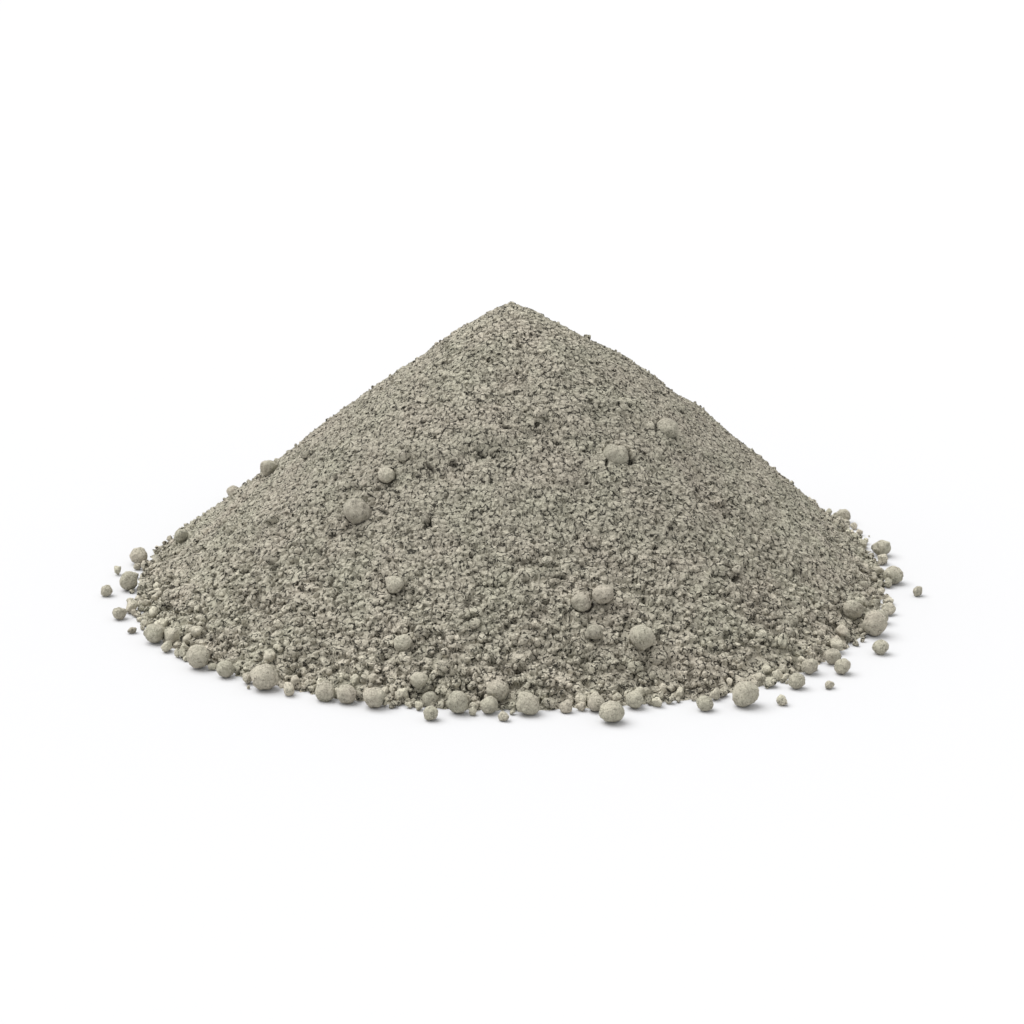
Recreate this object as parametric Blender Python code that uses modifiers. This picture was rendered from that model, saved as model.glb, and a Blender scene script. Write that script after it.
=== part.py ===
"""A heap of dry render powder with the lumps that rolled out of it.

The powder is one blunt cone at its angle of repose, knobbly all over, and its front has
slipped down a little. Rounded lumps of caked powder are bedded in its flank, lie on the
floor against its toe, and stray a little way from it.
Units are metres, +Z is up, and the origin is on the floor under the tip.
A bearing is in degrees from +X, anticlockwise seen from above, so the front, -Y, is at -90.
"""

import math

import bmesh
import bpy
from mathutils import Matrix, Vector, noise
from mathutils.bvhtree import BVHTree

# Driving dimensions of the powder cone
TOE_RADIUS = 0.1046
TIP_HEIGHT = 0.0765        # where the flank would meet in a sharp tip
TIP_BLUNTING = 0.0003      # how far the blunt tip lies under that
BELLY = 0.090              # how far the flank bows out of a straight cone, as a part of its height
BELLY_RISE = 3             # the higher, the nearer to the tip the bow is full
LEAN = 0.0021              # how much fuller the right flank is than the left
LEAN_DOWN = 1.36           # the higher, the nearer to the toe the lean is greatest
TOE_LOBES = 4              # the powder spread a little further in four lobes
LOBE_REACH = 0.0015
LOBE_BEARING = 40.0        # bearing of the first lobe
TOE_WANDER = 0.0008        # what the toe strays apart from its lobes
FLANK_WANDER = 0.0016      # depth of the shallow swells and slides of the flank
SWELL_SIZE = 0.030         # usual width of such a swell
KNOB_HEIGHT = 0.0015       # the clods that are caked together in the flank
KNOB_SIZE = 0.0070
CALM_KNOBS = 0.5           # their height above the slip, as a part of the height in it
RINGS = 28
SPOKES = 168

# The slip: the powder within its edge has slid down a little and left a low step along it.
# The edge: bearing, distance from the axis
SLIP_EDGE = (
    (-172, 0.099), (-164, 0.086), (-152, 0.070), (-140, 0.060), (-126, 0.052), (-113, 0.046),
    (-98, 0.042), (-81, 0.038), (-54, 0.035), (-40, 0.038), (-34, 0.050), (-31, 0.070),
    (-29, 0.100),
)
SLIP_DEPTH = 0.0012        # height of the step
SLIP_STEP = 0.0030         # width of the step

# Broad bulges of the flank: bearing, distance from the axis, width, height
BULGES = ((154, 0.044, 0.024, 0.0015), (25, 0.058, 0.016, 0.0019), (26, 0.034, 0.018, 0.0007))

# Driving dimensions of the lumps
GAP = 0.0003               # clearance between two pieces that touch
LUMP_ROUGHNESS = 0.16      # how far a lump is from a ball, as a part of its radius
LUMP_BUMP_SIZE = 0.45      # size of its bumps, as a part of its width
LUMP_LENGTH = 1.07         # its length and thickness, as parts of its width
LUMP_THICKNESS = 0.90
SLIDE_STEPS = 12           # steps in which a lump slides up to the toe

# Lumps in the flank: bearing, distance from the axis, width, part of the width under the flank
FLANK_LUMPS = (
    (-129, 0.062, 0.0070, 0.30), (-128, 0.052, 0.0044, 0.40), (175, 0.067, 0.0050, 0.35),
    (-30, 0.047, 0.0064, 0.60), (-56, 0.048, 0.0070, 0.65), (-74, 0.080, 0.0052, 0.25),
    (-78, 0.081, 0.0048, 0.45), (-77, 0.088, 0.0042, 0.40), (-70, 0.091, 0.0062, 0.20),
    (-107, 0.090, 0.0046, 0.35), (-92, 0.099, 0.0054, 0.30), (-103, 0.098, 0.0042, 0.30),
    (-28, 0.099, 0.0052, 0.30), (179, 0.091, 0.0040, 0.30), (58, 0.070, 0.0056, 0.35),
    (88, 0.091, 0.0060, 0.30), (141, 0.058, 0.0046, 0.40), (-112, 0.077, 0.0046, 0.45),
)

# Lumps that lie on the floor against the toe: bearing, width
TOE_LUMPS = (
    (177, 0.0050), (-171, 0.0052), (-148, 0.0054), (-136, 0.0062), (-131, 0.0046), (-124, 0.0068),
    (-115, 0.0050), (-112, 0.0048), (-108, 0.0054), (-97, 0.0054), (-93, 0.0044), (-88, 0.0056),
    (-79, 0.0042), (-74, 0.0044), (-47, 0.0042), (-42, 0.0042), (-29, 0.0064), (-24, 0.0042),
    (-6, 0.0054), (7, 0.0050), (24, 0.0044), (40, 0.0056), (67, 0.0060), (82, 0.0044),
    (98, 0.0052), (117, 0.0062), (130, 0.0046), (142, 0.0046),
)

# Pellets that rolled clear of the toe: bearing, distance from the axis, width
STRAY_PELLETS = (
    (-169, 0.111, 0.0032), (-159, 0.110, 0.0036), (-100, 0.110, 0.0036), (-78, 0.112, 0.0058),
    (-66, 0.112, 0.0040), (-61, 0.114, 0.0064), (-52, 0.112, 0.0042), (-44, 0.113, 0.0042),
    (-35, 0.113, 0.0040), (-11, 0.111, 0.0028), (45, 0.112, 0.0036), (88, 0.110, 0.0044),
    (108, 0.110, 0.0038),
)

# Colours in linear light
POWDER_COLOUR = (0.300, 0.285, 0.245)
LUMP_COLOUR = (0.330, 0.315, 0.270)
PELLET_COLOUR = (0.310, 0.295, 0.250)
DRY_ROUGHNESS = 0.95


def clear_scene():
    for old in list(bpy.data.objects):
        bpy.data.objects.remove(old, do_unlink=True)


def make_collection(name):
    collection = bpy.data.collections.new(name)
    bpy.context.scene.collection.children.link(collection)
    return collection


def make_material(name, colour):
    material = bpy.data.materials.new(name)
    material.use_nodes = True
    shader = material.node_tree.nodes["Principled BSDF"]
    shader.inputs["Base Color"].default_value = (*colour, 1.0)
    shader.inputs["Roughness"].default_value = DRY_ROUGHNESS
    shader.inputs["Metallic"].default_value = 0.0
    return material


def link_mesh(mesh, name, collection):
    piece = bpy.data.objects.new(name, mesh)
    collection.objects.link(piece)
    return piece


def around(bearing, distance, height=0.0):
    """The point at a bearing in degrees, a distance from the axis and a height."""
    angle = math.radians(bearing)
    return Vector((distance * math.cos(angle), distance * math.sin(angle), height))


def flank_height(distance):
    """Height of a level, round heap at a distance from its axis."""
    share = distance / TOE_RADIUS
    bow = BELLY * (1.0 - (1.0 - share) ** BELLY_RISE)
    sharp = TIP_HEIGHT * (1.0 - share) * (1.0 + bow)
    return sharp if distance > 0.0 else sharp - TIP_BLUNTING


def turned_cone(collection):
    """The round heap: its flank and flat underside, turned about the axis."""
    outline = []
    for ring in range(RINGS + 1):
        distance = TOE_RADIUS * ring / RINGS
        outline.append((distance, 0.0, flank_height(distance)))
    outline.append((0.0, 0.0, 0.0))
    mesh = bpy.data.meshes.new("flank_profile")
    mesh.from_pydata(outline, [(i, i + 1) for i in range(len(outline) - 1)], [])
    profile = link_mesh(mesh, "flank_profile", collection)
    screw = profile.modifiers.new("turn", "SCREW")
    screw.steps = SPOKES
    screw.render_steps = SPOKES
    screw.use_merge_vertices = True
    screw.merge_threshold = 0.00005
    bpy.context.view_layer.update()
    evaluated = profile.evaluated_get(bpy.context.evaluated_depsgraph_get())
    turned = bpy.data.meshes.new_from_object(evaluated)
    bpy.data.objects.remove(profile, do_unlink=True)
    return turned


def toe_shift(bearing):
    """How far the toe lies outside the round heap's at a bearing in radians."""
    lobes = math.cos(TOE_LOBES * (bearing - math.radians(LOBE_BEARING)))
    outward = Vector((math.cos(bearing), math.sin(bearing), 0.0))
    return LOBE_REACH * lobes + TOE_WANDER * noise.noise(2.0 * outward)


def slip_edge(bearing):
    """How far from the axis the slip's edge lies at a bearing in degrees. Beside it, the toe."""
    for (left, near), (right, far) in zip(SLIP_EDGE, SLIP_EDGE[1:]):
        if left <= bearing <= right:
            return near + (far - near) * (bearing - left) / (right - left)
    return TOE_RADIUS


def slip_drop(bearing, distance):
    """How far the powder has slid down at a bearing in degrees and a distance from the axis."""
    edge = slip_edge(bearing)
    if distance <= edge:
        return 0.0
    step = min((distance - edge) / SLIP_STEP, 1.0)
    return SLIP_DEPTH * step * (TOE_RADIUS - distance) / (TOE_RADIUS - edge)


def bulge_rise(place):
    """How far the broad bulges lift the flank at a place."""
    rise = 0.0
    for bearing, distance, width, height in BULGES:
        off = math.hypot(place.x - around(bearing, distance).x, place.y - around(bearing, distance).y)
        rise += height * math.exp(-(2.0 * off / width) ** 2)
    return rise


def settle_flank(mesh):
    """Give the round heap its lean, its relief and its uneven toe. The base stays flat."""
    for vertex in mesh.vertices:
        distance = math.hypot(vertex.co.x, vertex.co.y)
        if distance < 0.0001:
            continue
        share = distance / TOE_RADIUS
        outward = Vector((vertex.co.x, vertex.co.y, 0.0)) / distance
        bearing = math.degrees(math.atan2(outward.y, outward.x))
        if vertex.co.z > 0.0:
            middle = math.sin(math.pi * share)
            swell = FLANK_WANDER * noise.noise(vertex.co / SWELL_SIZE)
            knob = KNOB_HEIGHT * noise.noise(vertex.co / KNOB_SIZE)
            in_slip = distance > slip_edge(bearing)
            knob *= min(4.0 * (1.0 - share), 1.0) * (1.0 if in_slip else CALM_KNOBS)
            lean = math.sin(math.pi * share ** LEAN_DOWN) * LEAN * outward.x
            vertex.co.z += middle * swell + knob + lean
            vertex.co.z += bulge_rise(vertex.co) - slip_drop(bearing, distance)
        vertex.co += outward * share * toe_shift(math.radians(bearing))


def surface_tree(mesh):
    """A search tree over a mesh's triangles."""
    mesh.calc_loop_triangles()
    corners = [vertex.co.copy() for vertex in mesh.vertices]
    return BVHTree.FromPolygons(corners, [tuple(face.vertices) for face in mesh.loop_triangles])


def make_lump(name, width, seed, collection, material):
    """A rounded lump of caked powder, a little longer one way and thinner the other."""
    shape = bmesh.new()
    bmesh.ops.create_icosphere(shape, subdivisions=2, radius=0.5 * width)
    axis = Vector((math.sin(seed), math.cos(seed), 0.6)).normalized()
    turn = Matrix.Rotation(seed, 4, axis)
    other_lump = Vector((seed, 0.5 * seed, 0.0))
    for vertex in shape.verts:
        bump = noise.noise(vertex.co / (LUMP_BUMP_SIZE * width) + other_lump)
        vertex.co *= 1.0 + LUMP_ROUGHNESS * bump
        vertex.co.x *= LUMP_LENGTH
        vertex.co.z *= LUMP_THICKNESS
        vertex.co = turn @ vertex.co
    mesh = bpy.data.meshes.new(name)
    shape.to_mesh(mesh)
    shape.free()
    mesh.shade_smooth()
    mesh.materials.append(material)
    return link_mesh(mesh, name, collection)


def height_off_floor(mesh):
    """How high a lump's centre is when the lump stands on the floor."""
    return -min(vertex.co.z for vertex in mesh.vertices)


def bedded_centre(tree, bearing, distance, width, bedded):
    """Where a lump's centre goes so that the bedded part of its width lies under the flank."""
    above = around(bearing, distance, 2.0 * TIP_HEIGHT)
    place, normal, _, _ = tree.ray_cast(above, Vector((0.0, 0.0, -1.0)))
    return place + normal * width * (0.5 - bedded)


def toe_centre(tree, mesh, bearing, width):
    """Where a lump's centre goes so that it stands on the floor, just clear of the flank."""
    height = height_off_floor(mesh)
    distance = TOE_RADIUS + width
    for _ in range(SLIDE_STEPS):
        centre = around(bearing, distance, height)
        clearance = min(tree.find_nearest(centre + vertex.co)[3] for vertex in mesh.vertices)
        distance -= clearance - GAP
    return around(bearing, distance, height)


def make_flank_lumps(tree, collection):
    material = make_material("flank_lump_render", LUMP_COLOUR)
    lumps = []
    for number, (bearing, distance, width, bedded) in enumerate(FLANK_LUMPS, 1):
        lump = make_lump(f"flank_lump_{number:02d}", width, 3.1 * number, collection, material)
        lump.location = bedded_centre(tree, bearing, distance, width, bedded)
        lumps.append(lump)
    return lumps


def make_toe_lumps(tree, collection):
    material = make_material("toe_lump_render", LUMP_COLOUR)
    for number, (bearing, width) in enumerate(TOE_LUMPS, 1):
        lump = make_lump(f"toe_lump_{number:02d}", width, 5.3 * number, collection, material)
        lump.location = toe_centre(tree, lump.data, bearing, width)


def make_stray_pellets(collection):
    material = make_material("stray_pellet_render", PELLET_COLOUR)
    for number, (bearing, distance, width) in enumerate(STRAY_PELLETS, 1):
        pellet = make_lump(f"stray_pellet_{number:02d}", width, 7.7 * number, collection, material)
        pellet.location = around(bearing, distance, height_off_floor(pellet.data))


def make_sockets(lumps, collection):
    """One cutter that holds a socket for each lump, a clearance wider than the lump."""
    sockets = bmesh.new()
    for lump in lumps:
        socket = lump.data.copy()
        for vertex in socket.vertices:
            vertex.co += lump.location + vertex.co.normalized() * GAP
        sockets.from_mesh(socket)
        bpy.data.meshes.remove(socket)
    mesh = bpy.data.meshes.new("lump_sockets")
    sockets.to_mesh(mesh)
    sockets.free()
    cutter = link_mesh(mesh, "lump_sockets", collection)
    cutter.hide_render = True
    cutter.display_type = "WIRE"
    return cutter


def build_heap():
    clear_scene()
    heap = make_collection("render_heap")
    cutters = make_collection("cutters")

    powder = turned_cone(cutters)
    settle_flank(powder)
    powder.shade_smooth()
    powder.materials.append(make_material("powder_render", POWDER_COLOUR))
    mound = link_mesh(powder, "powder_mound", heap)
    flank = surface_tree(powder)

    flank_lumps = make_flank_lumps(flank, heap)
    make_toe_lumps(flank, heap)
    make_stray_pellets(heap)

    bedding = mound.modifiers.new("bedding", "BOOLEAN")
    bedding.operation = "DIFFERENCE"
    bedding.solver = "EXACT"
    bedding.object = make_sockets(flank_lumps, cutters)


build_heap()
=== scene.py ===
import math

import bmesh
import bpy
import numpy as np
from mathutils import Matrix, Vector, noise
from mathutils.bvhtree import BVHTree
from mathutils.kdtree import KDTree


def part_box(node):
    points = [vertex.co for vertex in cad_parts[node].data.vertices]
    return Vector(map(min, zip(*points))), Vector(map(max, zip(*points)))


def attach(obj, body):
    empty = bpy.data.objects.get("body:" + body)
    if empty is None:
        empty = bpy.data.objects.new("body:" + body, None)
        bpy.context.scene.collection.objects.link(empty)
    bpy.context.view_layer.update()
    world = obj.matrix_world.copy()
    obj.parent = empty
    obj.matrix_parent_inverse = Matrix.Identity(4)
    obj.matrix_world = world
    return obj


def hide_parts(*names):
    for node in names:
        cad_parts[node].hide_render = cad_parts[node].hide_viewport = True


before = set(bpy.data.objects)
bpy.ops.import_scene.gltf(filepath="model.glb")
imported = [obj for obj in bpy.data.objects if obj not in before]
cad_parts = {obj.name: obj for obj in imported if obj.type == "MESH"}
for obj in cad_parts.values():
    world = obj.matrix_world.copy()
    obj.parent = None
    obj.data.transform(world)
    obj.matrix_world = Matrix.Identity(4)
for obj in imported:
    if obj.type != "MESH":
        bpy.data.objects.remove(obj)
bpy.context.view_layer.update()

# A heap of dry render powder: its flank, the crumbs that cover it, and its lumps.
# Units are metres. The heap's axis is the Z axis and its front is -Y. A bearing is an
# angle from +X seen from above, and a share is a distance from the axis over the toe's.

SEED = 11

# The camera, which looks slightly down at the heap's front
LENS = 85.0
SENSOR = 36.0
CAMERA_DISTANCE = 0.665
CAMERA_ELEVATION = math.radians(17.5)
AIM_HEIGHT = 0.017

# The studio's light
SKY_STRENGTH = 0.95
SUN_STRENGTH = 3.3
SUN_FROM = Vector((-0.42, 0.17, 0.89))
SUN_WIDTH = math.radians(55.0)
FLOOR_SIZE = 8.0

# The powder's surface, a closed heap cut like a cake into SECTORS pieces
SECTORS = 3
RINGS = 284                # rings of corners from the tip to the toe
RING_POWER = 1.3           # above 1 the rings are closer together near the tip
FLANK_TILT = math.radians(37.0)
TIP_SHARE = 0.06           # the tip is rounded inside this share
CLUMP_DEPTH = 0.0006       # clumps of caked powder
CLUMP_SIZE = 0.0050
CALM = 0.55                # relief above the slip, as a part of the relief in it
LEDGE_DEPTH = 0.0004       # short ledges that run level round the flank
LEDGE_LENGTH = 0.0060
LEDGE_WIDTH = 0.0022
GRIT_DEPTH = 0.00010
GRIT_SIZE = 0.0007

# The slip of the front: the solid has the low step along its edge, and here that step gets
# a crumbly lip. The edge: bearing, distance from the axis
SLIP_EDGE = (
    (-172, 0.099), (-164, 0.086), (-152, 0.070), (-140, 0.060), (-126, 0.052), (-113, 0.046),
    (-98, 0.042), (-81, 0.038), (-54, 0.035), (-40, 0.038), (-34, 0.050), (-31, 0.070),
    (-29, 0.100),
)
LIP_HEIGHT = 0.0009
LIP_WIDTH = 0.0016
LIP_LENGTH = 0.0060        # the lip comes and goes along the edge in about this length

# The crumbs that lie packed tight in the flank
PACKED = 30000             # as many as there would be if all were as fine as at the tip
PACKED_TILT = 0.10         # the slope of their tops, each its own way
PACKED_LEVEL = 0.34        # how far their tops turn from the flank's slope towards level
PACKED_STEP = 0.00032      # the most that one stands back from the next
PACKED_TONES = 0.05
PACKED_WARP = 0.00040      # how far their outlines stray from straight lines
PACKED_WARP_SIZE = 0.0009
GAP_WIDTH = 0.00030        # half the width of the gaps between them
GAP_DEPTH = 0.00045
GAP_PATCHES = 0.0035       # the gaps open and close over about this length
COARSE_FROM = 0.42         # from this share on towards the toe all crumbs grow coarser
COARSE_GROWTH = 1.5
CRUST_COARSENESS = 0.25    # the part of that growth which is left outside the slip
SETTLING = 0.0009          # how much lower the flank lies near the toe, where crumbs stand on it
PITS = 1500
PIT_RADII = (0.0004, 0.0007)
PIT_DEPTHS = (0.0005, 0.0012)
HOLLOWS = (                # bearing, distance, half length, half width, depth, turn from level
    (-92, 0.0375, 0.0022, 0.0006, 0.0012, 15), (-80, 0.0370, 0.0009, 0.0007, 0.0014, 0),
    (-53, 0.0340, 0.0014, 0.0007, 0.0012, -30), (-35, 0.0380, 0.0012, 0.0006, 0.0012, -40),
    (-53, 0.0510, 0.0013, 0.0010, 0.0022, -35), (-60, 0.0490, 0.0026, 0.0006, 0.0013, -55),
    (-34, 0.0455, 0.0024, 0.0007, 0.0018, -50), (-74, 0.0420, 0.0012, 0.0006, 0.0012, 0),
    (-37, 0.0690, 0.0011, 0.0008, 0.0020, -30), (-47, 0.0830, 0.0024, 0.0007, 0.0020, -35),
    (-110, 0.0610, 0.0018, 0.0005, 0.0010, 60), (-96, 0.0975, 0.0014, 0.0011, 0.0024, 0),
    (-94, 0.1000, 0.0022, 0.0012, 0.0024, 0), (-76, 0.0812, 0.0020, 0.0007, 0.0014, 10),
    (-116, 0.0480, 0.0020, 0.0006, 0.0012, 20), (-109, 0.0465, 0.0016, 0.0006, 0.0012, 10),
    (-101, 0.0435, 0.0020, 0.0006, 0.0012, 15), (-39, 0.0620, 0.0014, 0.0006, 0.0012, -40),
    (-144, 0.0570, 0.0018, 0.0006, 0.0012, 30), (-123, 0.0600, 0.0018, 0.0006, 0.0012, 25),
    (-142, 0.0700, 0.0022, 0.0007, 0.0014, 30), (-81, 0.0745, 0.0026, 0.0006, 0.0012, 10),
    (-83, 0.0155, 0.0010, 0.0007, 0.0010, 0), (-129, 0.0640, 0.0026, 0.0008, 0.0014, 10),
    (-25, 0.0560, 0.0016, 0.0006, 0.0010, -45), (-28, 0.0760, 0.0014, 0.0007, 0.0012, -45),
    (-150, 0.0900, 0.0016, 0.0007, 0.0014, 35), (-160, 0.0860, 0.0016, 0.0007, 0.0014, 40),
)
# painted shade: how much the tone darkens at the deepest part of each hollow
HOLLOW_SHADE = 0.55
TOE_RECESS = 0.0016        # how far the powder's edge draws in between lumps along the toe
TOE_RECESS_SIZE = 0.0040
LEAST_HEIGHT = 0.0003      # no hole in the powder reaches down to the floor
TIP_LIGHTNESS = 0.18       # how much lighter the powder at the very tip is
TIP_REACH = 0.4            # the share at which that has faded out
TOE_LIGHTNESS = 0.18       # how much lighter the crumbs near the toe are, away from the lumps
TOE_DISTANCE = 0.105

# Loose crumbs on the surface
CRUMBS = 4200
CRUMB_WIDTH = 0.00090
CRUMB_MOST = 0.0019        # the widest of the fine crumbs
COARSE_CRUMBS = 2300       # before those outside the slip and the toe are left out
COARSE_WIDTHS = (0.0014, 0.0030)
CLODS = 300
CLOD_WIDTHS = (0.0015, 0.0038)
BARE_BEARINGS = (math.radians(138), math.radians(176))     # no clods lie along the toe there
SPECKS = 14

# Clods that show one by one: bearing, distance from the axis, width
SHOWN_CLODS = (
    (-126, 0.0470, 0.0038), (-129, 0.0550, 0.0023), (-130, 0.0575, 0.0020), (-130, 0.0660, 0.0024),
    (-132, 0.0685, 0.0023), (-136, 0.0715, 0.0030), (-142, 0.0780, 0.0035), (-152, 0.0710, 0.0031),
    (-165, 0.0780, 0.0034), (-172, 0.0555, 0.0035), (-78, 0.0345, 0.0040), (-83, 0.0705, 0.0034),
    (-87, 0.0690, 0.0032), (-90, 0.0695, 0.0022), (-36, 0.0660, 0.0033), (-46, 0.0815, 0.0035),
    (-111, 0.0605, 0.0030), (25, 0.0225, 0.0027), (9, 0.0940, 0.0042), (-137, 0.0760, 0.0030),
    (-68, 0.0950, 0.0046), (-72, 0.0960, 0.0038), (-106, 0.0930, 0.0037), (-105, 0.0870, 0.0036),
    (-96, 0.0840, 0.0032), (-88, 0.0880, 0.0034), (-100, 0.0940, 0.0034), (-124, 0.0970, 0.0037),
    (-127, 0.0990, 0.0032), (-50, 0.0960, 0.0038), (-47, 0.0985, 0.0038), (-146, 0.1040, 0.0041),
    (-143, 0.1000, 0.0035), (-127, 0.1070, 0.0029), (-120, 0.1070, 0.0034), (-105, 0.1010, 0.0038),
    (-101, 0.1015, 0.0036), (-79, 0.1010, 0.0040), (-83, 0.1040, 0.0034), (-67, 0.1030, 0.0029),
    (-55, 0.1040, 0.0034), (-38, 0.1040, 0.0035), (-20, 0.1050, 0.0038), (-34, 0.1015, 0.0034),
    (-178, 0.1090, 0.0024), (-153, 0.1100, 0.0024), (-95, 0.1060, 0.0022), (-91, 0.1090, 0.0028),
    (-63, 0.1090, 0.0021), (-57, 0.1180, 0.0028), (-49, 0.1170, 0.0028), (-71, 0.1080, 0.0020),
)
CLUMP_BEDDED = 0.42        # the part of a clod's width that lies under the flank
TOE_BEDDED = 0.25          # and along the toe
CLOD_TOE = 0.93            # the share from which on clods count as along the toe

# Lumps that the powder has crusted over, so that they are rougher and darker
CRUSTED = ("flank_lump_01", "flank_lump_04", "flank_lump_05", "flank_lump_07", "flank_lump_08",
           "flank_lump_14", "flank_lump_17")
CRUSTED_TONE = 0.85
CAKED_BUMPS = ((1.10, 0.16), (0.50, 0.10), (0.22, 0.06), (0.12, 0.04))
CRUSTED_BUMPS = ((1.10, 0.24), (0.50, 0.12), (0.22, 0.05), (0.12, 0.03))


def node_tree(material):
    material.use_nodes = True
    tree = material.node_tree
    return tree, tree.nodes["Principled BSDF"]


def add_node(tree, kind, **values):
    node = tree.nodes.new(kind)
    for name, value in values.items():
        if name in node.inputs:
            node.inputs[name].default_value = value
        else:
            setattr(node, name, value)
    return node


def noise_node(tree, coordinates, size, detail=4.0, roughness=0.6):
    """A noise texture whose features are about size metres wide."""
    texture = add_node(tree, "ShaderNodeTexNoise", Scale=1.0 / size, Detail=detail, Roughness=roughness)
    tree.links.new(coordinates, texture.inputs["Vector"])
    return texture.outputs["Fac"]


def vector_node(tree, operation, *values):
    """A vector sum or product of sockets and constants."""
    node = add_node(tree, "ShaderNodeVectorMath", operation=operation)
    for socket, value in zip(node.inputs, values):
        if isinstance(value, bpy.types.NodeSocket):
            tree.links.new(value, socket)
        else:
            socket.default_value = value
    return node.outputs["Value" if operation == "DOT_PRODUCT" else "Vector"]


def math_node(tree, operation, *values):
    node = add_node(tree, "ShaderNodeMath", operation=operation)
    for socket, value in zip(node.inputs, values):
        if isinstance(value, bpy.types.NodeSocket):
            tree.links.new(value, socket)
        else:
            socket.default_value = value
    return node.outputs["Value"]


def crumb_nodes(tree, coordinates, size, tilt, rise, uneven):
    """Angular crumbs of about size metres, packed tight.

    Gives a random value for each crumb, the distance from the gaps in crumb sizes, and the
    height in metres of its tilted top. Tilt and rise are slopes, uneven is in crumb sizes.
    """
    wander = add_node(tree, "ShaderNodeTexNoise", Scale=1.4 / size, Detail=2.0)
    tree.links.new(coordinates, wander.inputs["Vector"])
    reach = (2.0 * uneven * size,) * 3
    place = vector_node(tree, "MULTIPLY_ADD", wander.outputs["Color"], reach, coordinates)
    cells = add_node(tree, "ShaderNodeTexVoronoi", Scale=1.0 / size)
    edges = add_node(tree, "ShaderNodeTexVoronoi", Scale=1.0 / size, feature="DISTANCE_TO_EDGE")
    tree.links.new(place, cells.inputs["Vector"])
    tree.links.new(place, edges.inputs["Vector"])
    offset = vector_node(tree, "SUBTRACT", place, cells.outputs["Position"])
    lean = vector_node(tree, "MULTIPLY_ADD", cells.outputs["Color"], (2.0 * tilt,) * 3, (-tilt, -tilt, -2.0 * tilt))
    top = vector_node(tree, "DOT_PRODUCT", offset, lean)
    edge = math_node(tree, "MINIMUM", edges.outputs["Distance"], 0.16)
    height = math_node(tree, "MULTIPLY_ADD", edge, rise * size, top)
    parts = tree.nodes.new("ShaderNodeSeparateColor")
    tree.links.new(cells.outputs["Color"], parts.inputs["Color"])
    return parts.outputs["Red"], edges.outputs["Distance"], height


def ramp_node(tree, factor, stops):
    """A colour ramp with (position, linear colour) stops."""
    ramp = tree.nodes.new("ShaderNodeValToRGB")
    elements = ramp.color_ramp.elements
    while len(elements) < len(stops):
        elements.new(0.5)
    for element, (position, colour) in zip(elements, stops):
        element.position = position
        element.color = (*colour, 1.0)
    tree.links.new(factor, ramp.inputs["Fac"])
    return ramp.outputs["Color"]


def grey_ramp(tree, factor, low, high):
    """A grey ramp between two (position, value) stops."""
    return ramp_node(tree, factor, [(place, (value, value, value)) for place, value in (low, high)])


def mix_node(tree, blend, factor, first, second):
    mix = tree.nodes.new("ShaderNodeMix")
    mix.data_type = "RGBA"
    mix.blend_type = blend
    mix.inputs["Factor"].default_value = factor
    tree.links.new(first, mix.inputs["A"])
    tree.links.new(second, mix.inputs["B"])
    return mix.outputs["Result"]


def bump_node(tree, height, depth, before=None):
    bump = add_node(tree, "ShaderNodeBump", Strength=1.0, Distance=depth)
    tree.links.new(height, bump.inputs["Height"])
    if before is not None:
        tree.links.new(before, bump.inputs["Normal"])
    return bump.outputs["Normal"]


def powder_material(name, crumb, tilt, rise, gap_shade, grain_depth, lightness, crack, crack_shade):
    """Dry, dusty warm grey with faint pinkish and greenish patches, made of crumbs and grains, with painted shade
    darkening the gaps between the crumbs.

    Where crack isn't 0, thin short cracks run round clumps of about crack metres, darkened with painted shade down to
    crack_shade.
    """
    material = bpy.data.materials.new(name)
    tree, shader = node_tree(material)
    place = tree.nodes.new("ShaderNodeTexCoord").outputs["Object"]
    patches = noise_node(tree, place, 0.014, detail=3.0)
    green, grey, pink = (0.395, 0.376, 0.298), (0.402, 0.375, 0.302), (0.410, 0.374, 0.305)
    colour = ramp_node(tree, patches, [
        (stop, [lightness * part for part in shade])
        for stop, shade in ((0.36, green), (0.50, grey), (0.66, pink))
    ])
    tint, gap, top = crumb_nodes(tree, place, crumb, tilt, rise, 0.45)
    colour = mix_node(tree, "MULTIPLY", 1.0, colour, grey_ramp(tree, tint, (0.0, 0.93), (1.0, 1.07)))
    # Painted shade: the colour darkens to gap_shade in the gaps between the crumbs, wherever a noise opens them
    closed = grey_ramp(tree, noise_node(tree, place, 1.8 * crumb, detail=2.0), (0.44, 1.0), (0.60, 0.0))
    gap = mix_node(tree, "ADD", 1.0, grey_ramp(tree, gap, (0.03, gap_shade), (0.17, 1.0)), closed)
    colour = mix_node(tree, "MULTIPLY", 1.0, colour, grey_ramp(tree, gap, (0.0, 0.0), (1.0, 1.0)))
    normal = None
    if crack:
        _, split, split_top = crumb_nodes(tree, place, crack, 0.05, 0.8, 0.45)
        # Painted shade along the cracks, darkened to crack_shade where a noise opens them
        whole = grey_ramp(tree, noise_node(tree, place, 0.6 * crack, detail=2.0), (0.48, 1.0), (0.54, 0.0))
        split = mix_node(tree, "ADD", 1.0, grey_ramp(tree, split, (0.05, crack_shade), (0.11, 1.0)), whole)
        colour = mix_node(tree, "MULTIPLY", 1.0, colour, grey_ramp(tree, split, (0.0, 0.0), (1.0, 1.0)))
        normal = bump_node(tree, split_top, 1.0)
    grain = noise_node(tree, place, 0.00045, detail=3.0, roughness=0.7)
    colour = mix_node(tree, "MULTIPLY", 1.0, colour, grey_ramp(tree, grain, (0.28, 0.66), (0.55, 1.05)))
    tone = tree.nodes.new("ShaderNodeAttribute")
    tone.attribute_name = "tone"
    colour = mix_node(tree, "MULTIPLY", 1.0, colour, tone.outputs["Color"])
    tree.links.new(colour, shader.inputs["Base Color"])
    shader.inputs["Roughness"].default_value = 0.95
    shader.inputs["Specular IOR Level"].default_value = 0.15
    normal = bump_node(tree, top, 1.0, normal)
    normal = bump_node(tree, grain, grain_depth, normal)
    tree.links.new(normal, shader.inputs["Normal"])
    return material


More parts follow.
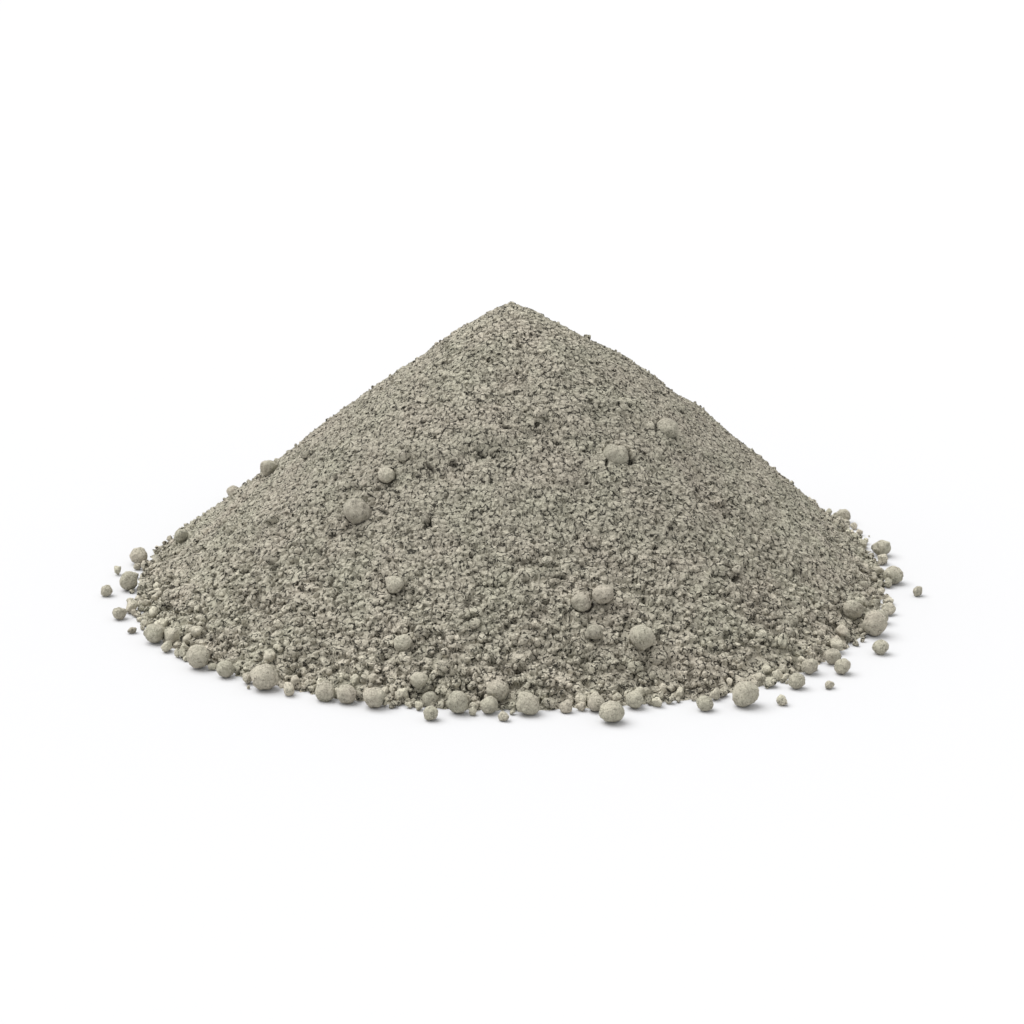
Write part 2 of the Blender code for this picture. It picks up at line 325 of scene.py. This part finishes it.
def floor_material():
    material = bpy.data.materials.new("white_floor")
    _, shader = node_tree(material)
    shader.inputs["Base Color"].default_value = (0.532, 0.532, 0.538, 1.0)
    shader.inputs["Roughness"].default_value = 0.9
    shader.inputs["Specular IOR Level"].default_value = 0.0
    return material


def mesh_object(name, corners, faces, tones, material, smooth):
    """An object from arrays of corners, of triangles and of the corners' tones."""
    mesh = bpy.data.meshes.new(name)
    mesh.vertices.add(len(corners))
    mesh.vertices.foreach_set("co", np.asarray(corners, np.float32).ravel())
    mesh.loops.add(3 * len(faces))
    mesh.loops.foreach_set("vertex_index", np.asarray(faces, np.int32).ravel())
    mesh.polygons.add(len(faces))
    mesh.polygons.foreach_set("loop_start", np.arange(0, 3 * len(faces), 3, dtype=np.int32))
    mesh.update(calc_edges=True)
    mesh.validate()
    if smooth:
        mesh.shade_smooth()
    else:
        mesh.shade_flat()
    attribute = mesh.color_attributes.new("tone", "FLOAT_COLOR", "POINT")
    colours = np.ones((len(corners), 4), np.float32)
    colours[:, :3] = np.asarray(tones, np.float32).reshape(-1, 1)
    attribute.data.foreach_set("color", colours.ravel())
    mesh.materials.append(material)
    piece = bpy.data.objects.new(name, mesh)
    bpy.context.scene.collection.objects.link(piece)
    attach(piece, "root")
    print(name, len(faces), "triangles")
    return piece


def surface_tree(cad_object):
    mesh = cad_object.data
    mesh.calc_loop_triangles()
    corners = [vertex.co.copy() for vertex in mesh.vertices]
    return BVHTree.FromPolygons(corners, [tuple(face.vertices) for face in mesh.loop_triangles])


def outward(bearings):
    """Level unit vectors at an array of bearings."""
    return np.column_stack([np.cos(bearings), np.sin(bearings), np.zeros(len(bearings))])


def toe_outline(tree, steps=720):
    """The toe's bearings and its distances from the axis, by level rays just off the floor."""
    bearings = np.linspace(0.0, 2.0 * math.pi, steps + 1)
    distances = []
    for way in outward(bearings):
        start = Vector(way * 0.2) + Vector((0.0, 0.0, 0.0002))
        place, _, _, _ = tree.ray_cast(start, -Vector(way))
        distances.append(math.hypot(place.x, place.y))
    return bearings, np.array(distances)


def flank_places(tree, toe, bearings, shares):
    """Points on the flank at arrays of bearings and shares, and the outward normals there."""
    distances = shares * np.interp(bearings % (2.0 * math.pi), *toe)
    ways = outward(bearings)
    places = ways * distances[:, None]
    down = Vector((0.0, 0.0, -1.0))
    for i, (x, y, _) in enumerate(places):
        hit = tree.ray_cast(Vector((x, y, 0.2)), down)[0]
        places[i, 2] = hit.z if hit else 0.0
    tilt = FLANK_TILT * np.clip(shares / TIP_SHARE, 0.0, 1.0)
    normals = ways * np.sin(tilt)[:, None]
    normals[:, 2] = np.cos(tilt)
    return places, normals


def below_slip_edge(bearings, distances):
    """How far places lie down the flank from the slip's edge. Outside the slip it is negative."""
    edge_bearings, edge_distances = np.array(SLIP_EDGE).T
    turned = (np.degrees(bearings) + 270.0) % 360.0 - 270.0
    edges = np.interp(turned, edge_bearings, edge_distances, left=0.2, right=0.2)
    return distances - edges


def coarseness(bearings, shares, toe):
    """How much coarser crumbs are than at the tip. In the slip and at the toe it is most."""
    distances = shares * np.interp(bearings % (2.0 * math.pi), *toe)
    slipped = np.clip(below_slip_edge(bearings, distances) / 0.012, CRUST_COARSENESS, 1.0)
    at_toe = np.clip((shares - 0.88) / 0.08, 0.0, 1.0)
    growth = np.clip((shares - COARSE_FROM) / (0.95 - COARSE_FROM), 0.0, 1.0) ** 2
    return 1.0 + COARSE_GROWTH * growth * np.maximum(slipped, at_toe)


def settled(shares):
    """How much lower the powder between the crumbs lies than the solid's flank."""
    return SETTLING * np.clip((shares - COARSE_FROM) / (0.95 - COARSE_FROM), 0.0, 1.0) ** 2


def lightness(shares):
    """How light the powder is: lightest at the tip, and lighter again on the crumbs near the toe."""
    near_toe = np.clip((shares - 0.6) / 0.4, 0.0, 1.0)
    near_tip = np.clip(1.0 - shares / TIP_REACH, 0.0, 1.0)
    return 1.0 + TIP_LIGHTNESS * near_tip + TOE_LIGHTNESS * near_toe


def random_spots(rng, count, least=0.0, most=1.0):
    """Random bearings and shares, spread evenly over the flank between two shares."""
    bearings = rng.uniform(0.0, 2.0 * math.pi, count)
    return bearings, np.sqrt(rng.uniform(least ** 2, most ** 2, count))


def lump_balls():
    """Centres and radii of the balls that hold the CAD lumps."""
    boxes = [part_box(name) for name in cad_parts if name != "powder_mound"]
    lows = np.array([low[:] for low, high in boxes])
    highs = np.array([high[:] for low, high in boxes])
    return (lows + highs) / 2.0, (highs - lows).mean(axis=1) / 2.0


def clearance(points, balls):
    """How far each point lies outside the nearest ball."""
    centres, radii = balls
    best = np.full(len(points), 1.0)
    for centre, radius in zip(centres, radii):
        best = np.minimum(best, np.linalg.norm(points - centre, axis=1) - radius)
    return best


def disc_layout(rings):
    """Points over a unit disc, 6k of them in ring k: bearings, shares and triangles.

    The lines at every sixth of a turn run along edges, so the disc can be cut there.
    """
    bearings = [0.0]
    shares = [0.0]
    first = [0]
    for ring in range(1, rings + 1):
        first.append(len(bearings))
        bearings += [2.0 * math.pi * i / (6 * ring) for i in range(6 * ring)]
        shares += [(ring / rings) ** RING_POWER] * (6 * ring)
    faces = [(0, 1 + o, 1 + (o + 1) % 6) for o in range(6)]
    for ring in range(2, rings + 1):
        inner, outer = 6 * (ring - 1), 6 * ring
        i = o = 0
        while i < inner or o < outer:
            inner_here = first[ring - 1] + i % inner
            outer_here = first[ring] + o % outer
            if (o + 0.5) * inner <= (i + 0.5) * outer:
                faces.append((inner_here, outer_here, first[ring] + (o + 1) % outer))
                o += 1
            else:
                faces.append((inner_here, outer_here, first[ring - 1] + (i + 1) % inner))
                i += 1
    return np.array(bearings), np.array(shares), np.array(faces), first


def warped(points):
    """Points shifted by a noise, so that outlines drawn over them become uneven."""
    shifts = [noise.noise_vector(Vector(point) / PACKED_WARP_SIZE)[:] for point in points]
    return points + PACKED_WARP * np.array(shifts)


def packed_crumbs(rng, tree, toe, places, bearings, shares):
    """Height over the flank and tone, at each place, of crumbs that lie packed tight. The tone carries painted shade
    in the open gaps between them.
    """
    seed_bearings, seed_shares = random_spots(rng, PACKED)
    growth = coarseness(seed_bearings, seed_shares, toe)
    kept = rng.uniform(size=PACKED) < growth ** -2.0
    seed_bearings, seed_shares, growth = seed_bearings[kept], seed_shares[kept], growth[kept]
    seeds, _ = flank_places(tree, toe, seed_bearings, seed_shares)
    levels = -PACKED_STEP * growth * rng.uniform(0.0, 1.0, len(seeds))
    slopes = rng.uniform(-PACKED_TILT, PACKED_TILT, (len(seeds), 3))
    slopes[:, 2] -= PACKED_LEVEL
    seed_tones = rng.normal(1.0, PACKED_TONES, len(seeds))
    nearby = KDTree(len(seeds))
    for i, seed in enumerate(seeds):
        nearby.insert(seed, i)
    nearby.balance()
    points = warped(places)
    first, second = np.array([[match[1] for match in nearby.find_n(point, 2)] for point in points]).T
    offsets = points - seeds[first]
    across = seeds[second] - seeds[first]
    lengths = np.linalg.norm(across, axis=1)
    to_gap = lengths / 2.0 - (offsets * across).sum(axis=1) / lengths
    gap = 1.0 - np.clip(to_gap / (GAP_WIDTH * growth[first]), 0.0, 1.0)
    opened = np.array([0.5 + 1.3 * noise.noise(Vector(place) / GAP_PATCHES) for place in places]).clip(0.1, 1.0)
    heights = levels[first] + (offsets * slopes[first]).sum(axis=1)
    heights -= GAP_DEPTH * growth[first] * opened * gap ** 2 + settled(shares)
    # The tones darken with painted shade where the gaps between the crumbs are open
    return heights, seed_tones[first] * (1.0 - 0.2 * opened * gap)


def dig_pits(rng, tree, toe, places, heights):
    """Round pits where crumbs have rolled out."""
    nearby = KDTree(len(places))
    for i, point in enumerate(warped(places)):
        nearby.insert(point, i)
    nearby.balance()
    bearings, shares = random_spots(rng, PITS)
    pits, _ = flank_places(tree, toe, bearings, shares)
    growth = coarseness(bearings, shares, toe)
    radii = rng.uniform(*PIT_RADII, PITS) * growth
    depths = rng.uniform(*PIT_DEPTHS, PITS) * np.sqrt(growth)
    for spot, radius, depth in zip(pits, radii, depths):
        for _, i, gap in nearby.find_range(spot, radius):
            heights[i] -= depth * (1.0 - (gap / radius) ** 2)


def dig_hollows(toe, bearings, shares, heights, tones):
    """Single hollows and cracks: each a smooth dent, longer one way than the other, darkened with painted shade."""
    distances = shares * np.interp(bearings % (2.0 * math.pi), *toe)
    for bearing, distance, length, width, depth, turn in HOLLOWS:
        swing = (bearings - math.radians(bearing) + math.pi) % (2.0 * math.pi) - math.pi
        right = swing * distance
        down = (distances - distance) / math.cos(FLANK_TILT)
        turn = math.radians(turn)
        along = (right * math.cos(turn) + down * math.sin(turn)) / length
        across = (down * math.cos(turn) - right * math.sin(turn)) / width
        dent = np.clip(1.0 - along ** 2 - across ** 2, 0.0, 1.0) ** 0.5
        heights -= depth * dent
        # painted shade inside the dent
        tones *= 1.0 - HOLLOW_SHADE * dent


def swells(places, bearings):
    """Clumps of caked powder, level ledges, grit and the slip's lip, as heights over the flank."""
    distances = np.hypot(places[:, 0], places[:, 1])
    below = below_slip_edge(bearings, distances)
    rough = CALM + (1.0 - CALM) * np.clip(below / 0.004, 0.0, 1.0)
    level = np.column_stack([
        np.cos(bearings) * distances / LEDGE_LENGTH,
        np.sin(bearings) * distances / LEDGE_LENGTH,
        places[:, 2] / LEDGE_WIDTH,
    ])
    heights = np.array([
        CLUMP_DEPTH * noise.noise(Vector(place) / CLUMP_SIZE)
        + LEDGE_DEPTH * noise.noise(Vector(along))
        + GRIT_DEPTH * noise.noise(Vector(place) / GRIT_SIZE)
        for place, along in zip(places, level)
    ])
    lip = np.array([0.5 + noise.noise(Vector(place) / LIP_LENGTH) for place in places]).clip(0.0, 1.0)
    above = np.exp(-((below + LIP_WIDTH) / LIP_WIDTH) ** 2)
    under = np.exp(-((below - 0.5 * LIP_WIDTH) / LIP_WIDTH) ** 2)
    lip *= above - 0.8 * under
    return rough * heights + LIP_HEIGHT * lip


def make_powder(rng, tree, toe, balls, material):
    """The powder's own surface with its flat base, as closed wedges that meet at the axis."""
    bearings, shares, faces, first = disc_layout(RINGS)
    rim_places = outward(bearings) * (shares > 0.0)[:, None]
    recess = np.array([noise.noise(Vector(way) * toe[1].mean() / TOE_RECESS_SIZE) for way in rim_places])
    drawn_in = 1.0 - TOE_RECESS * np.abs(recess) * 2.0 / toe[1].mean() * shares ** 6
    places, normals = flank_places(tree, toe, bearings, shares * drawn_in * 0.998)
    relief, tones = packed_crumbs(rng, tree, toe, places, bearings, shares)
    dig_pits(rng, tree, toe, places, relief)
    dig_hollows(toe, bearings, shares, relief, tones)
    heights = relief + swells(places, bearings)
    by_lump = clearance(places, balls) < 0.0004
    heights[by_lump] = -0.0002 - settled(shares[by_lump])
    heights[shares == 1.0] = 0.0
    # Painted shade in the hollows between crumbs: powder more than half a millimetre (times the coarseness) below the
    # packed crumbs' tops gets darker, down to 0.65 of its tone at 1.5 mm
    cavity_lit = np.clip(1.5 + (relief + settled(shares)) / (0.0010 * coarseness(bearings, shares, toe)), 0.0, 1.0)
    tones = tones * (0.65 + 0.35 * cavity_lit) * lightness(shares)
    corners = places + normals * heights[:, None]
    corners[:, 2] = np.maximum(corners[:, 2], LEAST_HEIGHT)
    corners[shares == 1.0, 2] = 0.0
    corners = np.vstack([corners, [[0.0, 0.0, 0.0]]])
    tones = np.append(tones, 1.0)
    base = len(corners) - 1
    sector = (np.arctan2(*corners[faces].mean(axis=1)[:, 1::-1].T) / (2.0 * math.pi) * SECTORS) % SECTORS
    for s in range(SECTORS):
        walls = []
        for side, way in ((s, 1), (s + 1, -1)):
            line = [0] + [first[k] + (side * 6 * k // SECTORS) % (6 * k) for k in range(1, RINGS + 1)]
            walls += [(base, inner, outer)[::way] for inner, outer in zip(line, line[1:])]
        rim = [first[RINGS] + i % (6 * RINGS) for i in range(s * 6 * RINGS // SECTORS, (s + 1) * 6 * RINGS // SECTORS + 1)]
        walls += [(base, b, a) for a, b in zip(rim, rim[1:])]
        wedge = np.vstack([faces[sector.astype(int) == s], walls])
        used, wedge = np.unique(wedge, return_inverse=True)
        piece = mesh_object(f"heap_powder_{s + 1}", corners[used], wedge.reshape(-1, 3), tones[used], material, False)
        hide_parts("powder_mound")


def ball_mesh(level):
    """Corners and triangles of an icosphere of radius 1."""
    ball = bmesh.new()
    bmesh.ops.create_icosphere(ball, subdivisions=level, radius=1.0)
    corners = np.array([vertex.co[:] for vertex in ball.verts])
    faces = np.array([[vertex.index for vertex in face.verts] for face in ball.faces])
    edges = np.array([[vertex.index for vertex in edge.verts] for edge in ball.edges])
    ball.free()
    return corners, faces, edges


def bumpy(corners, shift, sizes_and_depths):
    """How far a bumpy ball swells at each corner, from noises of several sizes."""
    swell = np.zeros(len(corners))
    for size, depth in sizes_and_depths:
        swell += depth * np.array([noise.noise(Vector(corner) / size + shift) for corner in corners])
    return swell


def crumb_shapes(rng, level, kinds, planes, bumps):
    """A few crumb shapes of width about 1, as corners (kinds, n, 3) and triangles.

    Each is a ball that planes have cut flat here and there, with bumps on it.
    """
    corners, faces, _ = ball_mesh(level)
    shapes = []
    for kind in range(kinds):
        ways = rng.normal(size=(planes, 3))
        ways /= np.linalg.norm(ways, axis=1)[:, None]
        facing = np.maximum(corners @ ways.T, 0.05)
        reach = (rng.uniform(0.62, 1.0, planes) / facing).min(axis=1).clip(0.0, 1.1)
        swell = bumpy(corners, Vector((kind * 3.7, kind * 1.9, 0.0)), bumps)
        shapes.append(0.5 * corners * (reach * (1.0 + swell))[:, None])
    return np.array(shapes), faces


def random_turns(rng, count):
    """Random rotation matrices."""
    q = rng.normal(size=(count, 4))
    q /= np.linalg.norm(q, axis=1)[:, None]
    w, x, y, z = q.T
    rows = [
        [1 - 2 * (y * y + z * z), 2 * (x * y - z * w), 2 * (x * z + y * w)],
        [2 * (x * y + z * w), 1 - 2 * (x * x + z * z), 2 * (y * z - x * w)],
        [2 * (x * z - y * w), 2 * (y * z + x * w), 1 - 2 * (x * x + y * y)],
    ]
    return np.array(rows).transpose(2, 0, 1)


def make_crumbs(rng, name, shapes, faces, centres, widths, material, smooth, stretch=(0.75, 1.2)):
    """One piece of many crumbs with these centres and widths. The lowest lie on the floor."""
    count = len(centres)
    kinds = rng.integers(0, len(shapes), count)
    sizes = rng.uniform(*stretch, (count, 3)) * widths[:, None]
    bodies = np.einsum("nij,nkj->nki", random_turns(rng, count), shapes[kinds] * sizes[:, None, :])
    corners = bodies + centres[:, None, :]
    low = corners[:, :, 2].min(axis=1)
    lying = (low < 0.0) | (centres[:, 2] < 0.6 * widths)
    corners[:, :, 2] -= np.where(lying, low, 0.0)[:, None]
    size = corners.shape[1]
    triangles = faces[None] + (np.arange(count) * size)[:, None, None]
    light = lightness(np.hypot(*centres[:, :2].T) / TOE_DISTANCE)
    tones = np.repeat(light * rng.normal(1.0, 0.10, count).clip(0.75, 1.3), size)
    piece = mesh_object(name, corners.reshape(-1, 3), triangles.reshape(-1, 3), tones, material, smooth)
    return piece


def apart(centres, widths, closeness):
    """Which balls to keep, the widest first, so that no two come nearer than closeness widths."""
    kept = []
    for i in np.argsort(-widths):
        gaps = np.linalg.norm(centres[kept] - centres[i], axis=1)
        if not kept or np.all(gaps > closeness * (widths[kept] + widths[i]) / 2.0):
            kept.append(i)
    return np.array(kept)


def scatter(rng, tree, toe, balls, count, least, most, widths, sink, growing=False):
    """Centres for crumbs on the flank between two shares, clear of the lumps, and their widths."""
    bearings, shares = random_spots(rng, count, least, most)
    if growing:
        widths = np.minimum(widths * coarseness(bearings, shares, toe), CRUMB_MOST)
    places, normals = flank_places(tree, toe, bearings, shares)
    on_floor = shares > 1.0
    normals[on_floor] = (0.0, 0.0, 1.0)
    depths = rng.uniform(*sink, count)
    depths[on_floor] = 0.5
    centres = places + normals * (widths * depths - np.where(on_floor, 0.0, settled(shares)))[:, None]
    kept = clearance(centres, balls) > widths * 0.35
    return centres[kept], widths[kept], bearings[kept]


def shown_clods(tree, toe, balls):
    """The clods that show one by one: their centres, widths and shares."""
    bearings, distances, widths = np.array(SHOWN_CLODS).T
    bearings = np.radians(bearings)
    shares = distances / np.interp(bearings % (2.0 * math.pi), *toe)
    places, normals = flank_places(tree, toe, bearings, shares)
    bedded = np.where(shares < CLOD_TOE, CLUMP_BEDDED, TOE_BEDDED)
    centres = places + normals * (widths * (0.5 - bedded) - settled(shares))[:, None]
    centres[shares > 0.985, 2] = 0.5 * widths[shares > 0.985]
    clear = clearance(centres, balls) > 0.25 * widths
    return centres[clear], widths[clear], shares[clear]


def dress_lump(node, material, number, bumps, tone):
    """A caked lump of the node's own shape, rounder and finely rough, in its place."""
    corners, faces, edges = ball_mesh(4)
    low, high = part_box(node.name)
    centre = (Vector(low) + Vector(high)) / 2.0
    tree = surface_tree(node)
    reach = np.array([tree.ray_cast(centre, Vector(way))[3] for way in corners])
    full = reach.mean()
    for _ in range(10):
        total = np.zeros(len(reach))
        count = np.zeros(len(reach))
        for a, b in (edges.T, edges.T[::-1]):
            np.add.at(total, a, reach[b])
            np.add.at(count, a, 1.0)
        reach = total / count
    reach *= full / reach.mean()
    shift = Vector((number * 2.3, number * 1.1, 0.0))
    reach *= 1.0 + bumpy(corners, shift, bumps)
    shape = corners * reach[:, None] + np.array(centre)
    shape[:, 2] = np.maximum(shape[:, 2], 0.0)
    tones = tone + 0.05 * math.sin(number * 2.4) + np.zeros(len(shape))
    piece = mesh_object(f"{node.name}_caked", shape, faces, tones, material, True)
    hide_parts(node.name)


def place_camera():
    data = bpy.data.cameras.new("camera")
    data.lens = LENS
    data.sensor_width = SENSOR
    data.clip_start = 0.01
    camera = bpy.data.objects.new("camera", data)
    bpy.context.scene.collection.objects.link(camera)
    back = Vector((0.0, -math.cos(CAMERA_ELEVATION), math.sin(CAMERA_ELEVATION)))
    camera.location = Vector((0.0, 0.0, AIM_HEIGHT)) + back * CAMERA_DISTANCE
    camera.rotation_euler = (math.pi / 2 - CAMERA_ELEVATION, 0.0, 0.0)
    bpy.context.scene.camera = camera


def light_studio():
    """An even white sky and one wide soft light from high up, a little behind and to the left."""
    world = bpy.data.worlds.new("studio")
    bpy.context.scene.world = world
    world.use_nodes = True
    background = world.node_tree.nodes["Background"]
    background.inputs["Color"].default_value = (1.0, 1.0, 1.0, 1.0)
    background.inputs["Strength"].default_value = SKY_STRENGTH
    data = bpy.data.lights.new("softbox", "SUN")
    data.energy = SUN_STRENGTH
    data.angle = SUN_WIDTH
    light = bpy.data.objects.new("softbox", data)
    light.rotation_euler = SUN_FROM.to_track_quat("Z", "Y").to_euler()
    bpy.context.scene.collection.objects.link(light)
    bpy.context.scene.view_settings.view_transform = "Standard"


def make_floor():
    bpy.ops.mesh.primitive_plane_add(size=FLOOR_SIZE)
    floor = bpy.context.object
    floor.name = "floor"
    floor.data.materials.append(floor_material())


place_camera()
light_studio()
make_floor()

rng = np.random.default_rng(SEED)
flank_tree = surface_tree(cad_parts["powder_mound"])
toe = toe_outline(flank_tree)
balls = lump_balls()
powder = powder_material("powder", 0.0008, 0.07, 0.6, 0.55, 0.00018, 0.94, 0.0019, 0.14)
caked = powder_material("caked_powder", 0.0006, 0.16, 0.6, 0.55, 0.0003, 1.07, 0.0, 1.0)

make_powder(rng, flank_tree, toe, balls, powder)

small_shapes, small_faces = crumb_shapes(rng, 1, 14, 9, ((0.6, 0.25),))
widths = CRUMB_WIDTH * rng.lognormal(0.0, 0.28, CRUMBS)
centres, widths, bearings = scatter(rng, flank_tree, toe, balls, CRUMBS, 0.0, 1.0, widths, (-0.45, 0.1), True)
sector = (bearings / (2.0 * math.pi) * SECTORS).astype(int)
for s in range(SECTORS):
    chosen = sector == s
    make_crumbs(rng, f"crumbs_{s + 1}", small_shapes, small_faces, centres[chosen], widths[chosen], powder,
                False)

coarse_shapes, coarse_faces = crumb_shapes(rng, 2, 16, 11, ((0.7, 0.20), (0.3, 0.12)))
widths = rng.triangular(COARSE_WIDTHS[0], COARSE_WIDTHS[0], COARSE_WIDTHS[1], COARSE_CRUMBS)
centres, widths, bearings = scatter(rng, flank_tree, toe, balls, COARSE_CRUMBS, 0.62, 1.015, widths, (-0.45, 0.0))
shares = np.hypot(centres[:, 0], centres[:, 1]) / np.interp(bearings, *toe)
kept = rng.uniform(1.0, 1.0 + COARSE_GROWTH, len(shares)) < coarseness(bearings, shares, toe)
kept &= (bearings < BARE_BEARINGS[0]) | (bearings > BARE_BEARINGS[1])
centres, widths = centres[kept], widths[kept]
make_crumbs(rng, "coarse_crumbs", coarse_shapes, coarse_faces, centres, widths, powder, False)

clod_shapes, clod_faces = crumb_shapes(rng, 3, 12, 14, ((0.9, 0.20), (0.4, 0.12), (0.15, 0.08)))
widths = rng.triangular(CLOD_WIDTHS[0], CLOD_WIDTHS[0], CLOD_WIDTHS[1], CLODS)
shown_centres, shown_widths, shown_shares = shown_clods(flank_tree, toe, balls)
at_toe = shown_shares > CLOD_TOE
make_crumbs(rng, "clumps", clod_shapes, clod_faces, shown_centres[~at_toe], shown_widths[~at_toe], powder,
            True, (0.8, 1.15))
centres, widths, bearings = scatter(rng, flank_tree, toe, balls, CLODS, 0.94, 1.02, widths, (-0.35, 0.05))
kept = (bearings < BARE_BEARINGS[0]) | (bearings > BARE_BEARINGS[1])
centres, widths = centres[kept], widths[kept]
centres, widths = np.vstack([shown_centres[at_toe], centres]), np.append(shown_widths[at_toe], widths)
kept = apart(centres, widths, 0.9)
make_crumbs(rng, "clods", clod_shapes, clod_faces, centres[kept], widths[kept], caked, True, (0.8, 1.15))

widths = rng.uniform(0.0005, 0.0012, SPECKS)
centres, widths, bearings = scatter(rng, flank_tree, toe, balls, SPECKS, 1.02, 1.045, widths, (0.5, 0.5))
kept = (bearings < BARE_BEARINGS[0]) | (bearings > BARE_BEARINGS[1])
centres, widths = centres[kept], widths[kept]
make_crumbs(rng, "specks", small_shapes, small_faces, centres, widths, caked, False)

for number, (name, node) in enumerate(sorted(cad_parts.items())):
    if name in CRUSTED:
        dress_lump(node, caked, number, CRUSTED_BUMPS, CRUSTED_TONE)
    elif name != "powder_mound":
        dress_lump(node, caked, number, CAKED_BUMPS, 1.0)
